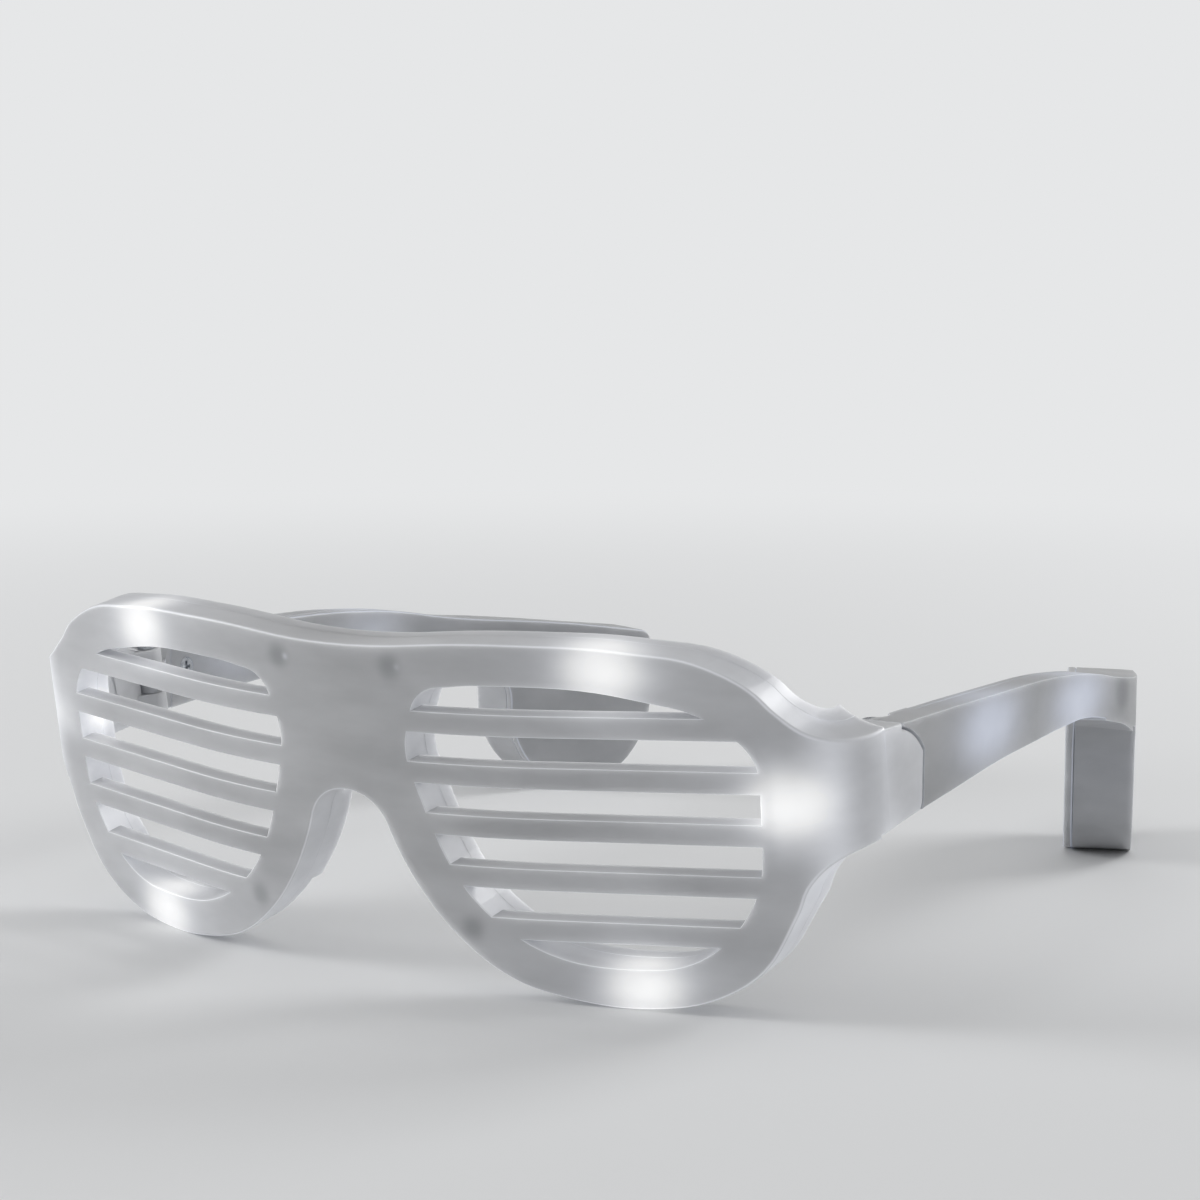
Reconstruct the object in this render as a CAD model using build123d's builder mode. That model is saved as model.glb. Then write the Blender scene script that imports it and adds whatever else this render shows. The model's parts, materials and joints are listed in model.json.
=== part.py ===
from build123d import *
from math import atan2, cos, degrees, radians, sin, sqrt, tan
import os

# Slatted light-up glasses, standing open on the rim bottoms and the two arm tips.
# The wearer looks along -Y, so the wearer's left arm is the one at +X. Millimetres, +Z up.

# Front, seen square on: x across from the nose, height up from the nose arch
front_width = 150.2
end_piece_width = 8.7
rim_up = 23.1
rim_down = 30.7
front_lean = 8.8
wrap_radius = 130.0
wrap_angle = 14.6
corner_radius = 13.0

# Front shells, one behind the other
front_shell_depth = 4.8
back_shell_depth = 2.6
front_wall = 1.4
rim_wall = 1.3
channel_reach = 2.8
end_trim_start = 24.0

# Slats
slat_pitch = 7.6
slat_height = 3.25
slat_depth = 3.0
slat_count = 5
top_slat_height = 11.2

# Pegs that locate the two front shells
peg_radius = 1.5
peg_hole_clearance = 0.1
peg_length = 2.6
brow_peg_across = 10.0
brow_peg_height = 19.2
nose_peg_across = 19.6
nose_peg_height = -19.6

# Nose flanges at the back of the rims
nose_flange_depth = 2.4
nose_flange_width = 2.6
nose_flange_top = -3.5
nose_flange_bottom = -19.0

# Arms, side on: y back from the nose arch, height from the floor
arm_thickness = 5.6
arm_toe = 1.5
arm_wall = 1.3
arm_top = 41.9
cover_depth = 1.6
cover_front = 42.0
cavity_front = 49.0
bend_back = 125.4
bend_radius = 38.0
wire_wall_front = 111.5
wire_wall_back = 118.0
passage_height = 33.2
passage_size = 3.4

# Seam between an end piece and its arm, side on
seam_gap = 0.3
seam_back = 36.4
seam_top_step = 7.0
seam_top_height = 41.0
seam_top_drop = 4.0
seam_low_step = 2.4
seam_low_height = 27.6

# Arm tips: thick round-ended boxes, turned in towards the head
tip_toe = 22.0
tip_thickness = 11.9
tip_length = 34.7
tip_front = 9.3
tip_top_back = 29.9
tip_corner_radius = 3.0
tip_throat_height = 24.8
tip_throat_radius = 8.0
tip_lead = 14.0
tip_lead_slope = 0.38
tip_heel_rise = 37.0

# Hinges
hinge_inset = 7.3
hinge_back = 35.4
knuckle_radius = 2.3
knuckle_height = 3.6
knuckle_gap = 0.15
lug_root_in = 1.4
lug_root_back = 4.0
arm_root_in = 2.7
arm_root_back = 5.6
pin_radius = 0.8
pin_clearance = 0.05
pin_head_radius = 1.5
pin_head_height = 0.6
relief_gap = 0.35

# Lights and the strips that carry them
strip_width = 2.4
strip_thickness = 0.4
strip_gap = 0.1
led_width = 2.4
led_length = 3.4
led_base = 0.8
seat_gap = 0.05
lens_size = 2.0
lens_height = 1.1
lens_bevel = 0.5
arm_strip_front = 52.0
arm_strip_front_height = 37.2
arm_strip_end = 108.0
arm_strip_end_height = 34.8
arm_led_backs = (60.7, 98.0)

# Battery end, in the left tip
cell_radius = 10.0
cell_depth = 3.2
cell_side_gap = 0.2
cell_face_gap = 0.05
well_wall = 1.0
seat_radius = 7.0
contact_thickness = 0.25
contact_width = 5.0
contact_length = 13.0
contact_slot_gap = 0.2
spring_height = 4.0
door_radius = 12.2
door_thickness = 1.0
door_gap = 0.2
door_ear_offset = 9.8
door_ear_radius = 2.0
door_screw_radius = 0.8
door_screw_head_radius = 1.4
door_screw_head_height = 0.5
door_screw_length = 4.0

# Switch end, in the right tip
board_width = 20.0
board_height = 22.0
board_corner = 2.0
board_thickness = 1.0
board_depth = 6.4
board_post_across = 7.5
board_post_up = 8.5
board_post_width = 2.2
switch_size = 6.0
switch_depth = 3.4
plunger_radius = 1.7
plunger_length = 2.4
plunger_clearance = 0.1
button_travel = 0.5
button_radius = 3.2
button_gap = 0.2
button_proud = 1.0
button_bevel = 0.4
button_flange_radius = 4.2
button_flange_depth = 0.7
button_flange_gap = 0.2
chip_size = 5.0
chip_depth = 1.4
chip_drop = 7.0

# Self-tapping screws that close the arms
screw_radius = 0.9
screw_head_radius = 1.6
screw_head_height = 0.9
screw_length = 2.6
screw_clearance = 0.05
pillar_wall = 1.1
arm_screw_back = 46.0
arm_screw_height = 35.5
tip_screw_along = 39.5
tip_screw_height = 24.5

# Where the front stands: the nose arch above the floor, and its place along Y
arch_height = 29.4
arch_back = -81.4
overrun = 60.0
overrun_in = 0.2

# Sine of the angle under which an arc is drawn straight
straight_sine = 0.0005

os.makedirs("parts", exist_ok=True)

# Outlines as shares, chosen by hand. Rim: x of rim_half_width, height of rim_up or rim_down.
# Beyond the rim the x of an end piece is a share of end_piece_width
rim_top_shares = (
    (0.0, 0.952), (0.41, 1.0), (0.66, 0.966), (0.84, 0.875), (0.93, 0.735), (0.985, 0.58),
)
end_top_shares = ((0.38, 0.445), (1.145, 0.38))
end_low_shares = ((1.145, -0.215), (0.57, -0.262), (0.23, -0.36))
rim_low_shares = (
    (1.0, -0.51), (0.905, -0.825), (0.82, -0.935), (0.645, -1.0), (0.5, -0.965), (0.38, -0.885),
    (0.255, -0.69), (0.168, -0.456), (0.104, -0.176),
)
nose_arch_shares = ((0.052, -0.036), (0.0, -0.01))
# Eye opening: x of rim_half_width, height of rim_up
eye_shares = (
    (0.178, 0.42), (0.225, 0.675), (0.30, 0.722), (0.41, 0.735), (0.66, 0.68), (0.86, 0.5),
    (0.918, 0.35), (0.937, -0.1), (0.908, -0.62), (0.79, -0.985), (0.61, -1.062), (0.49, -1.01),
    (0.315, -0.69), (0.21, -0.13),
)
# Arm edges: distance back of bend_back, height of arm_top
arm_top_shares = (
    (0.16, 0.998), (0.49, 0.985), (0.74, 0.955), (0.83, 0.925), (0.94, 0.866), (1.1, 0.807), (1.25, 0.743),
    (1.37, 0.694),
)
arm_low_shares = (
    (0.16, 0.62), (0.26, 0.666), (0.39, 0.702), (0.51, 0.733), (0.63, 0.75), (0.735, 0.761), (0.80, 0.761),
    (0.90, 0.712), (1.0, 0.62),
)
# Light strip in a rim, from the brow light round the outside to the low light, and its three lights
strip_shares = (
    (0.5, 0.86), (0.62, 0.845), (0.8, 0.755), (0.93, 0.54), (0.985, 0.05), (0.968, -0.5), (0.80, -1.12),
    (0.66, -1.19), (0.56, -1.17),
)
rim_led_shares = {"top": (0.62, 0.845), "bottom": (0.66, -1.19)}
side_led_height_share = 0.03
# Bulge of the two rounded steps in the seam
seam_bulge_top_shares = (0.35, 0.45)
seam_bulge_low_share = 0.3

# Planes: the front leans, the arms stand upright
lean = radians(front_lean)
wrap = radians(wrap_angle)
half_width = front_width / 2
rim_half_width = half_width - end_piece_width
front_depth = front_shell_depth + back_shell_depth
arch = Vector(0, arch_back, arch_height)
face_plane = Plane(origin=arch, x_dir=(1, 0, 0), z_dir=(0, -cos(lean), -sin(lean)))
plan_plane = Plane(origin=arch, x_dir=(1, 0, 0), z_dir=(0, -sin(lean), cos(lean)))
side_plane = Plane(origin=(0, arch_back, 0), x_dir=(0, 1, 0), z_dir=(1, 0, 0))
floor_plane = Plane(origin=(0, arch_back, 0))


def scaled(shares, across, up, start=0):
    """Outline points from their shares, counted across from a start."""
    return [(start + x * across, height * up) for x, height in shares]


def end_direction(direction, chord):
    """Direction in which an arc ends that starts in a direction and runs along a chord."""
    return chord * (2 * chord.dot(direction)) - direction


def tangent_arc(start, end, direction):
    """Arc that leaves its start in a direction, or a line where it would be straight."""
    chord = (end - start).normalized()
    if abs(chord.cross(direction).Z) < straight_sine:
        Line(start, end)
    else:
        TangentArc(start, end, tangent=direction)
    return end_direction(direction, chord)


def smooth_line(points, first_direction=None, closed=False):
    """Smooth line through points, drawn as two tangent arcs from each point to the next."""
    spots = [Vector(*point) for point in points]
    spots += spots[:1] if closed else []
    directions = []
    for before, here, after in zip(spots, spots[1:], spots[2:] + spots[1:2]):
        near, far = here - before, after - here
        ratio = far.length / near.length
        directions.append((near * ratio + far / ratio).normalized())
    if closed:
        directions.insert(0, directions[-1])
    else:
        directions[-1] = end_direction(directions[-2], (spots[-1] - spots[-2]).normalized())
        natural = end_direction(directions[0], (spots[1] - spots[0]).normalized())
        directions.insert(0, Vector(*first_direction) if first_direction else natural)
    for start, end, leaving, arriving in zip(spots, spots[1:], directions, directions[1:]):
        chord = end - start
        square = chord.dot(chord)
        both = chord.dot(leaving + arriving)
        reach = square / (both + sqrt(both ** 2 + 2 * (1 - leaving.dot(arriving)) * square))
        joint = (start + end + (leaving - arriving) * reach) / 2
        tangent_arc(joint, end, tangent_arc(start, joint, leaving))


def both_sides(piece, mode=Mode.ADD):
    """Add a piece and its mirror image to the part being built, or cut both from it."""
    add(piece, mode=mode)
    add(mirror(piece, about=Plane.YZ, mode=Mode.PRIVATE), mode=mode)


# Front: the wrap, seen from above, is a brow arc, a flat lens and a corner arc into the end piece
lens_start_x = wrap_radius * sin(wrap)
lens_start_back = wrap_radius * (1 - cos(wrap))
corner_start_x = half_width - corner_radius * (1 - sin(wrap))
corner_start_back = lens_start_back + (corner_start_x - lens_start_x) * tan(wrap)
corner_centre_x = half_width - corner_radius
corner_centre_back = corner_start_back + corner_radius * cos(wrap)


def wrap_points(depth):
    """Key points of the wrap line at a depth behind the front face, from the nose to the end piece."""
    brow = wrap_radius - depth
    corner = corner_radius - depth
    middle = (wrap + radians(90)) / 2
    return [
        (0, depth),
        (brow * sin(wrap / 2), wrap_radius - brow * cos(wrap / 2)),
        (brow * sin(wrap), wrap_radius - brow * cos(wrap)),
        (corner_centre_x + corner * sin(wrap), corner_centre_back - corner * cos(wrap)),
        (corner_centre_x + corner * sin(middle), corner_centre_back - corner * cos(middle)),
        (half_width - depth, corner_centre_back),
        (half_width - depth, overrun),
    ]


def wrap_band(near, far):
    """Slab between two depths of the wrap, as tall as any piece of the front needs."""
    a, b = wrap_points(near), wrap_points(far)
    with BuildPart() as band:
        with BuildSketch(plan_plane.offset(-overrun)):
            with BuildLine():
                ThreePointArc(a[0], a[1], a[2])
                Line(a[2], a[3])
                ThreePointArc(a[3], a[4], a[5])
                Polyline(a[5], a[6], b[6], b[5])
                ThreePointArc(b[5], b[4], b[3])
                Line(b[3], b[2])
                ThreePointArc(b[2], b[1], b[0])
                Line(b[0], a[0])
            make_face()
            mirror(about=Plane.YZ)
        extrude(amount=2 * overrun)
    return band.part


def wrap_spot(x, height, depth):
    """Plane on the wrap at a depth, facing out to the front, for a piece seated there."""
    brow = wrap_radius - depth
    angle = min(wrap, atan2(abs(x), brow))
    if abs(x) <= brow * sin(wrap):
        back = wrap_radius - sqrt(brow ** 2 - x ** 2)
    else:
        back = wrap_radius - brow * cos(wrap) + (abs(x) - brow * sin(wrap)) * tan(wrap)
    turn = angle if x > 0 else -angle
    up = plan_plane.z_dir
    out = face_plane.z_dir.rotate(Axis((0, 0, 0), up), degrees(turn))
    spot = plan_plane.from_local_coords(Vector(x, back, height))
    return Plane(origin=spot, x_dir=up.cross(out), z_dir=out)


def rim_outline():
    """Whole front outline, brow to nose arch, with the stubs of the end pieces."""
    top = scaled(rim_top_shares, rim_half_width, rim_up)
    top += scaled(end_top_shares, end_piece_width, rim_up, rim_half_width)
    low = scaled(end_low_shares, end_piece_width, rim_down, rim_half_width)
    low += scaled(rim_low_shares, rim_half_width, rim_down)
    arch_side, arch_top = scaled(nose_arch_shares, rim_half_width, rim_down)
    with BuildSketch() as outline:
        with BuildLine():
            smooth_line(top, first_direction=(1, 0))
            Line(top[-1], low[0])
            smooth_line(low)
            ThreePointArc(low[-1], arch_side, arch_top)
            Line(arch_top, top[0])
        make_face()
        mirror(about=Plane.YZ)
    return outline.sketch


def moved_outline(outline, amount):
    """Outline grown by an amount, or shrunk by a negative one."""
    with BuildSketch() as moved:
        add(outline)
        offset(amount=amount)
    return moved.sketch


def eye_outline(margin):
    """Both eye openings, grown by a margin."""
    with BuildSketch() as eye:
        with BuildLine():
            smooth_line(scaled(eye_shares, rim_half_width, rim_up), closed=True)
        make_face()
    with BuildSketch() as eyes:
        add(moved_outline(eye.sketch, margin) if margin else eye.sketch)
        mirror(about=Plane.YZ)
    return eyes.sketch


def under_arm_top(inset):
    """All that lies under the top line of arm and tip, seen from the side, shrunk by an inset."""
    top = scaled(arm_top_shares, bend_back, arm_top)
    with BuildSketch() as region:
        with BuildLine():
            smooth_line(top)
            Polyline(top[-1], (top[-1][0], -overrun), (top[0][0], -overrun), top[0])
        make_face()
    return moved_outline(region.sketch, -inset) if inset else region.sketch


def arm_outline(inset):
    """Arm seen from the side, from the end piece to the bend, shrunk by an inset."""
    low = scaled(arm_low_shares, bend_back, arm_top)
    with BuildSketch() as above_low:
        with BuildLine():
            smooth_line(low)
            Polyline(low[-1], (bend_back, overrun), (low[0][0], overrun), low[0])
        make_face()
    with BuildSketch() as outline:
        add(moved_outline(above_low.sketch, -inset) if inset else above_low.sketch)
        add(under_arm_top(inset), mode=Mode.INTERSECT)
    return outline.sketch


def seam_region(gap):
    """What lies in front of the seam between end piece and arm, seen from the side."""
    low_back = seam_back - seam_low_step
    low_top = seam_low_height + seam_low_step
    top_back = seam_back - seam_top_step
    top_low = seam_top_height - seam_top_drop
    bulge_back, bulge_up = seam_bulge_top_shares
    top_bulge = (seam_back - seam_top_step * bulge_back, seam_top_height - seam_top_drop * bulge_up)
    low_bulge_inset = seam_low_step * seam_bulge_low_share
    low_bulge = (seam_back - low_bulge_inset, seam_low_height + low_bulge_inset)
    with BuildSketch() as region:
        with BuildLine():
            Line((seam_back, low_top), (seam_back, top_low))
            ThreePointArc((seam_back, top_low), top_bulge, (top_back, seam_top_height))
            Polyline((top_back, seam_top_height), (top_back, overrun), (-overrun, overrun), (-overrun, 0))
            Polyline((-overrun, 0), (low_back, 0), (low_back, seam_low_height))
            ThreePointArc((low_back, seam_low_height), low_bulge, (seam_back, low_top))
        make_face()
        if gap:
            offset(amount=gap)
    return region.sketch


# Hinge axis, upright with the front, at the inner side of the end piece
hinge_x = half_width - hinge_inset
hinge_spot = plan_plane.from_local_coords(Vector(hinge_x, hinge_back, 0))
hinge_plane = Plane(origin=hinge_spot, x_dir=(1, 0, 0), z_dir=plan_plane.z_dir)
lug_offset = knuckle_height + knuckle_gap
stack_half = lug_offset + knuckle_height / 2


def hinge_cylinder(radius, height, centre):
    """Cylinder on the hinge axis, centred at a height along it."""
    with BuildPart() as cylinder:
        with BuildSketch(hinge_plane.offset(centre - height / 2)):
            Circle(radius)
        extrude(amount=height)
    return cylinder.part


def hinge_lug(centre, root_x, root_back):
    """Knuckle with its web: the hull of the barrel and a root inside the wall that carries it."""
    with BuildPart() as lug:
        with BuildSketch(hinge_plane.offset(centre - knuckle_height / 2)):
            Circle(knuckle_radius)
            with Locations((root_x, root_back)):
                Rectangle(knuckle_radius / 2, knuckle_radius)
            make_hull()
        extrude(amount=knuckle_height)
    return lug.part


# Cutting tool: the end piece beyond the arm's own lines and the seam
with BuildSketch() as end_line:
    add(arm_outline(0))
    add(seam_region(0), mode=Mode.INTERSECT)
with BuildPart() as end_trim:
    with BuildSketch(side_plane.offset(half_width - front_depth - knuckle_radius)):
        with Locations((end_trim_start + overrun / 2, arch_height)):
            Rectangle(overrun, 2 * overrun)
        add(end_line.sketch, mode=Mode.SUBTRACT)
    extrude(amount=overrun)
    mirror(about=Plane.YZ)

# Cutting tools: the slots between the slats, and the eye openings behind the slats
with BuildPart() as slots:
    with BuildSketch(face_plane):
        add(eye_outline(0))
        with Locations((0, top_slat_height - (slat_count - 1) / 2 * slat_pitch)):
            with GridLocations(0, slat_pitch, 1, slat_count):
                Rectangle(front_width, slat_height, mode=Mode.SUBTRACT)
    extrude(amount=overrun, both=True)

with BuildPart() as behind_slats:
    with BuildSketch(face_plane):
        add(eye_outline(0))
    extrude(amount=overrun, both=True)
    add(wrap_band(slat_depth, front_depth + nose_flange_depth), mode=Mode.INTERSECT)

# Channel inside the front shell for the lights, open to the back shell
with BuildPart() as channel:
    with BuildSketch(face_plane):
        add(moved_outline(rim_outline(), -rim_wall))
        add(eye_outline(rim_wall), mode=Mode.SUBTRACT)
        Rectangle(2 * (corner_start_x + channel_reach), 2 * overrun, mode=Mode.INTERSECT)
    extrude(amount=overrun, both=True)
    add(wrap_band(front_wall, front_shell_depth), mode=Mode.INTERSECT)

peg_spots = [(side * brow_peg_across, brow_peg_height) for side in (1, -1)]
peg_spots += [(side * nose_peg_across, nose_peg_height) for side in (1, -1)]


def pegs(radius, near, far):
    """Round posts at the four peg places, between two depths of the wrap."""
    with BuildPart() as posts:
        with BuildSketch(face_plane):
            with Locations(*peg_spots):
                Circle(radius)
        extrude(amount=overrun, both=True)
        add(wrap_band(near, far), mode=Mode.INTERSECT)
    return posts.part


# Cutting tool: room for the arm's knuckle and its web, open to the back
relief_radius = knuckle_radius + relief_gap
with BuildPart() as knuckle_relief:
    with BuildSketch(hinge_plane.offset(-knuckle_height / 2 - knuckle_gap)):
        Circle(relief_radius)
        with Locations((0, relief_radius)):
            Rectangle(2 * relief_radius, 2 * relief_radius)
    extrude(amount=knuckle_height + 2 * knuckle_gap)

# Front shell: face, slats and rim walls in one moulding
with BuildPart() as front_shell:
    with BuildSketch(face_plane):
        add(rim_outline())
    extrude(amount=overrun, both=True)
    add(wrap_band(0, front_shell_depth), mode=Mode.INTERSECT)
    add(end_trim.part, mode=Mode.SUBTRACT)
    add(slots.part, mode=Mode.SUBTRACT)
    add(behind_slats.part, mode=Mode.SUBTRACT)
    add(channel.part, mode=Mode.SUBTRACT)
    add(pegs(peg_radius + rim_wall, front_wall - overrun_in, front_shell_depth))
    add(pegs(peg_radius + peg_hole_clearance, front_wall, front_shell_depth), mode=Mode.SUBTRACT)
    both_sides(knuckle_relief.part, Mode.SUBTRACT)
front_shell.part.label = "front_shell"
export_step(front_shell.part, "parts/front_shell.step")

# Nose flanges: a lip behind the rims, along the edge that bears on the nose
with BuildPart() as nose_flanges:
    with BuildSketch(face_plane):
        add(rim_outline())
        with Locations((nose_flange_width, 0)):
            add(rim_outline(), mode=Mode.SUBTRACT)
        with Locations((nose_peg_across / 2, (nose_flange_top + nose_flange_bottom) / 2)):
            Rectangle(nose_peg_across, nose_flange_top - nose_flange_bottom, mode=Mode.INTERSECT)
        mirror(about=Plane.YZ)
    extrude(amount=overrun, both=True)
    add(wrap_band(front_depth - overrun_in, front_depth + nose_flange_depth), mode=Mode.INTERSECT)

# Back shell: flat back of the rims, nose flanges, pegs and the fixed hinge knuckles
with BuildPart() as back_shell:
    with BuildSketch(face_plane):
        add(rim_outline())
        add(eye_outline(0), mode=Mode.SUBTRACT)
    extrude(amount=overrun, both=True)
    add(wrap_band(front_shell_depth, front_depth), mode=Mode.INTERSECT)
    add(end_trim.part, mode=Mode.SUBTRACT)
    add(nose_flanges.part)
    add(pegs(peg_radius, front_shell_depth - peg_length, front_shell_depth + overrun_in))
    both_sides(knuckle_relief.part, Mode.SUBTRACT)
    for lug_side in (1, -1):
        both_sides(hinge_lug(lug_side * lug_offset, lug_root_in, -lug_root_back))
        well_centre = lug_side * (stack_half + arch_height / 2)
        both_sides(hinge_cylinder(pin_head_radius + relief_gap, arch_height, well_centre), Mode.SUBTRACT)
    both_sides(hinge_cylinder(pin_radius + pin_clearance, arch_height, 0), Mode.SUBTRACT)
back_shell.part.label = "back_shell"
export_step(back_shell.part, "parts/back_shell.step")

# Hinge pins, headed at both ends
with BuildPart() as hinge_pin_left:
    add(hinge_cylinder(pin_radius, 2 * (stack_half + pin_clearance), 0))
    for head_side in (1, -1):
        head_centre = head_side * (stack_half + pin_clearance + pin_head_height / 2)
        add(hinge_cylinder(pin_head_radius, pin_head_height, head_centre))
hinge_pin_left.part.label = "hinge_pin_left"
export_step(hinge_pin_left.part, "parts/hinge_pin_left.step")

with BuildPart() as hinge_pin_right:
    add(hinge_pin_left.part)
    mirror(about=Plane.YZ, mode=Mode.REPLACE)
hinge_pin_right.part.label = "hinge_pin_right"
export_step(hinge_pin_right.part, "parts/hinge_pin_right.step")

# Light strips on the back shell, inside the channel
with BuildPart() as led_strip_left:
    with BuildSketch(face_plane):
        with BuildLine():
            smooth_line(scaled(strip_shares, rim_half_width, rim_up))
        trace(line_width=strip_width)
        add(moved_outline(rim_outline(), -rim_wall - strip_gap), mode=Mode.INTERSECT)
        add(eye_outline(rim_wall + strip_gap), mode=Mode.SUBTRACT)
    extrude(amount=overrun, both=True)
    add(wrap_band(front_shell_depth - strip_thickness, front_shell_depth), mode=Mode.INTERSECT)
led_strip_left.part.label = "led_strip_left"
export_step(led_strip_left.part, "parts/led_strip_left.step")

with BuildPart() as led_strip_right:
    add(led_strip_left.part)
    mirror(about=Plane.YZ, mode=Mode.REPLACE)
led_strip_right.part.label = "led_strip_right"
export_step(led_strip_right.part, "parts/led_strip_right.step")


def led(seat, spot):
    """Light at a spot on a seat plane: a base and a lens with a bevelled top."""
    with BuildPart() as light:
        with BuildSketch(seat):
            with Locations(spot):
                Rectangle(led_length, led_width)
        extrude(amount=led_base)
        with BuildSketch(seat.offset(led_base)):
            with Locations(spot):
                Rectangle(lens_size, lens_size)
        extrude(amount=lens_height)
        chamfer(light.faces().sort_by(Axis(seat.origin, seat.z_dir))[-1].edges(), lens_bevel)
    return light.part


# Three lights round each eye, facing out along the wrap. The one at the side lies beside the eye's wall
led_seat_depth = front_shell_depth - strip_thickness - seat_gap
eye_side = rim_half_width * max(x for x, height in eye_shares)
side_led_across = eye_side + rim_wall + led_length / 2
rim_led_spots = {place: (x * rim_half_width, height * rim_up) for place, (x, height) in rim_led_shares.items()}
rim_led_spots["side"] = (side_led_across, side_led_height_share * rim_up)
for side_name, side in (("left", 1), ("right", -1)):
    for place, (across, height) in rim_led_spots.items():
        spot_plane = wrap_spot(side * across, height, led_seat_depth)
        with BuildPart() as rim_led:
            add(led(spot_plane, (0, 0)))
        rim_led.part.label = f"led_{side_name}_{place}"
        export_step(rim_led.part, f"parts/led_{side_name}_{place}.step")


# Arm, modelled on the wearer's left side: lines of its outer face and of the tip's in plan
toe = radians(arm_toe)
tip_turn = radians(tip_toe)
bend_x = half_width - (bend_back - seam_back) * tan(toe)
arm_out = Vector(cos(toe), sin(toe), 0)
tip_out = Vector(cos(tip_turn), sin(tip_turn), 0)
arm_along = Vector(-sin(toe), cos(toe), 0)
tip_along = Vector(-sin(tip_turn), cos(tip_turn), 0)
arm_plane = Plane(origin=(half_width, arch_back + seam_back, 0), x_dir=arm_along, z_dir=arm_out)
tip_plane = Plane(origin=(bend_x, arch_back + bend_back, 0), x_dir=tip_along, z_dir=tip_out)
tip_back = tip_front + tip_length
tip_radius = tip_length / 2
tip_middle = tip_front + tip_radius
cell_spot = (tip_middle, tip_radius)
tip_screw_spot = (tip_screw_along, tip_screw_height)


def plan_line(arm_depth, tip_depth, start):
    """Plan line parallel to the outer faces of arm and tip, from a start to beyond the tip."""
    arm_x = half_width - arm_depth / cos(toe)
    tip_x = bend_x - tip_depth / cos(tip_turn)
    run = (tip_x - arm_x + tan(tip_turn) * (bend_back - seam_back)) / (tan(tip_turn) - tan(toe))
    corner = (arm_x - tan(toe) * run, seam_back + run)
    reach = tip_back + tip_thickness
    end = (tip_x - reach * sin(tip_turn), bend_back + reach * cos(tip_turn))
    return [(arm_x - tan(toe) * (start - seam_back), start), corner, end]


def arm_layer(near, far, start):
    """Layer of the arm between two such lines, each rounded at the bend."""
    a, b = plan_line(*near, start), plan_line(*far, start)
    with BuildPart() as layer:
        with BuildSketch(floor_plane.offset(-overrun_in)):
            with BuildLine():
                FilletPolyline(*a, radius=bend_radius)
                Line(a[2], b[2])
                FilletPolyline(*b, radius=bend_radius)
                Line(b[0], a[0])
            make_face()
        extrude(amount=overrun)
    return layer.part


def tip_outline(inset):
    """Arm tip seen square on: round end, heel and throat, run forward into the arm along its low line."""
    lead = (-tip_lead, tip_throat_height + tip_lead * tip_lead_slope)
    with BuildSketch() as outline:
        with BuildLine():
            Polyline((tip_front, tip_radius), (tip_front, tip_throat_height), lead, (-tip_lead, arm_top))
            Polyline((-tip_lead, arm_top), (0, tip_heel_rise), (tip_back, tip_top_back))
            Line((tip_back, tip_top_back), (tip_back, tip_radius))
            ThreePointArc((tip_back, tip_radius), (tip_middle, 0), (tip_front, tip_radius))
        make_face()
        fillet(outline.vertices().sort_by_distance((tip_front, tip_throat_height))[0], tip_throat_radius)
        fillet(outline.vertices().sort_by_distance((tip_back, tip_top_back))[0], tip_corner_radius)
        if inset:
            offset(amount=-inset)
    return outline.sketch


def tip_body(inset):
    """Arm tip square to its own faces, closed on top by the line that it shares with the arm."""
    with BuildPart() as body:
        with BuildSketch(tip_plane.offset(-overrun)):
            add(tip_outline(inset))
        extrude(amount=2 * overrun)
        with BuildSketch(side_plane):
            add(under_arm_top(inset))
        extrude(amount=front_width, mode=Mode.INTERSECT)
    return body.part


outer_faces = (0, 0)
inner_faces = (arm_thickness, tip_thickness)
cover_faces = (arm_thickness - cover_depth, tip_thickness - cover_depth)
cavity_faces = (arm_wall, arm_wall)

# Whole arm with its tip, behind the seam
with BuildPart() as arm_blank:
    with BuildSketch(side_plane):
        add(arm_outline(0))
    extrude(amount=half_width)
    add(tip_body(0))
    add(arm_layer(outer_faces, inner_faces, 0), mode=Mode.INTERSECT)
    with BuildSketch(side_plane):
        add(seam_region(seam_gap))
    extrude(amount=front_width, mode=Mode.SUBTRACT)
    add(hinge_cylinder(relief_radius, overrun, 0), mode=Mode.SUBTRACT)

# Its hollow: one chamber for the lights, one in the tip, and the wire passage between them
with BuildPart() as arm_hollow:
    add(tip_body(arm_wall))
    with BuildSketch(side_plane):
        with Locations((wire_wall_back / 2, arch_height)):
            Rectangle(wire_wall_back, 2 * arch_height)
    extrude(amount=front_width, mode=Mode.SUBTRACT)
    with BuildSketch(side_plane):
        add(arm_outline(arm_wall))
        with Locations(((cavity_front + wire_wall_front) / 2, arch_height)):
            Rectangle(wire_wall_front - cavity_front, 2 * arch_height, mode=Mode.INTERSECT)
    extrude(amount=front_width)
    with BuildSketch(side_plane):
        with Locations(((wire_wall_front + wire_wall_back) / 2, passage_height)):
            Rectangle(wire_wall_back - wire_wall_front + 2 * overrun_in, passage_size)
    extrude(amount=front_width)
    add(arm_layer(cavity_faces, cover_faces, cover_front), mode=Mode.INTERSECT)

cover_slab = arm_layer(cover_faces, inner_faces, cover_front)


def tip_disc(spot, radius, near, far):
    """Cylinder square to the arm tip, between two depths from its outer face."""
    with BuildPart() as disc:
        with BuildSketch(tip_plane.offset(-far)):
            with Locations(spot):
                Circle(radius)
        extrude(amount=far - near)
    return disc.part


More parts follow.
